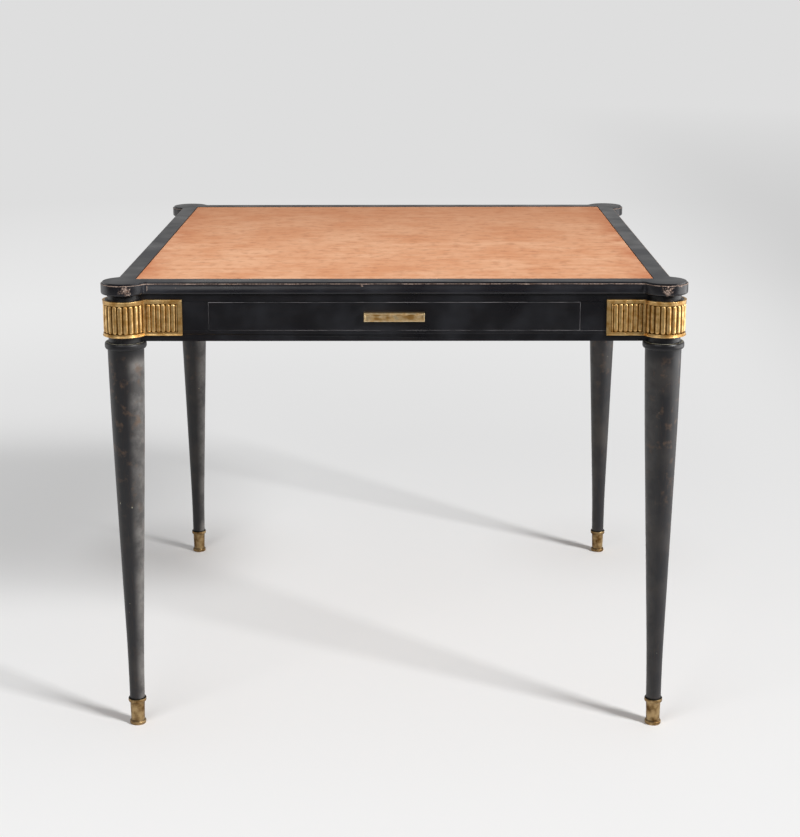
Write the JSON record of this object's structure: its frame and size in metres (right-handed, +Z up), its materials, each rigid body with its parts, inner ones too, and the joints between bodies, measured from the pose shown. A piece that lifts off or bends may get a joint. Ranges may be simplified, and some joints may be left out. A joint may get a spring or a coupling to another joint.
{
  "type": "bridge table",
  "caption": "Square bridge table on tapered round legs with brass sabots, reeded gilt corner mounts, a frieze drawer and a suede playing surface in an ebonised border with round ears.",
  "frame": {"origin": "on the floor, under the middle of the top", "axes": "+Z up, -Y out of the front, the side that the drawer opens to, +X to the right seen from there"},
  "size_m": [0.901, 0.901, 0.725],
  "materials": {
    "ebonised_wood": "black stained hardwood, polished, worn to bare wood along the arrises",
    "plain_wood": "unfinished planed hardwood",
    "suede": "terracotta suede with a mottled, brushed nap",
    "gilt_bronze": "cast bronze, gilt, satin with darker hollows",
    "sabot_brass": "turned brass, dulled",
    "handle_brass": "brass, worn polish",
    "steel": "plain steel screws"
  },
  "bodies": {
    "table": {"leg_front_left": "ebonised_wood", "ear_front_left": "ebonised_wood", "sabot_front_left": "sabot_brass", "corner_mount_front_left": "gilt_bronze", "corner_block_front_left": "plain_wood", "leg_front_right": "ebonised_wood", "ear_front_right": "ebonised_wood", "sabot_front_right": "sabot_brass", "corner_mount_front_right": "gilt_bronze", "corner_block_front_right": "plain_wood", "leg_back_right": "ebonised_wood", "ear_back_right": "ebonised_wood", "sabot_back_right": "sabot_brass", "corner_mount_back_right": "gilt_bronze", "corner_block_back_right": "plain_wood", "leg_back_left": "ebonised_wood", "ear_back_left": "ebonised_wood", "sabot_back_left": "sabot_brass", "corner_mount_back_left": "gilt_bronze", "corner_block_back_left": "plain_wood", "border_front": "ebonised_wood", "border_right": "ebonised_wood", "border_back": "ebonised_wood", "border_left": "ebonised_wood", "apron_right": "ebonised_wood", "apron_back": "ebonised_wood", "apron_left": "ebonised_wood", "front_upper_rail": "ebonised_wood", "front_lower_rail": "ebonised_wood", "front_left_block": "ebonised_wood", "front_right_block": "ebonised_wood", "top_panel": "plain_wood", "playing_surface": "suede", "drawer_stops": "plain_wood", "drawer_runner_left": "plain_wood", "drawer_guide_left": "plain_wood", "drawer_kicker_left": "plain_wood", "drawer_runner_right": "plain_wood", "drawer_guide_right": "plain_wood", "drawer_kicker_right": "plain_wood", "mount_pins": "gilt_bronze", "corner_block_screws": "steel", "top_screws": "steel"},
    "drawer": {"drawer_front": "ebonised_wood", "drawer_side_left": "plain_wood", "drawer_side_right": "plain_wood", "drawer_back": "plain_wood", "drawer_bottom": "plain_wood", "drawer_handle": "handle_brass", "handle_screws": "steel"}
  },
  "joints": [
    {"name": "drawer_slide", "type": "slide", "parent": "table", "child": "drawer", "axis": [0, -1, 0], "range_m": [0, 0.3]}
  ]
}
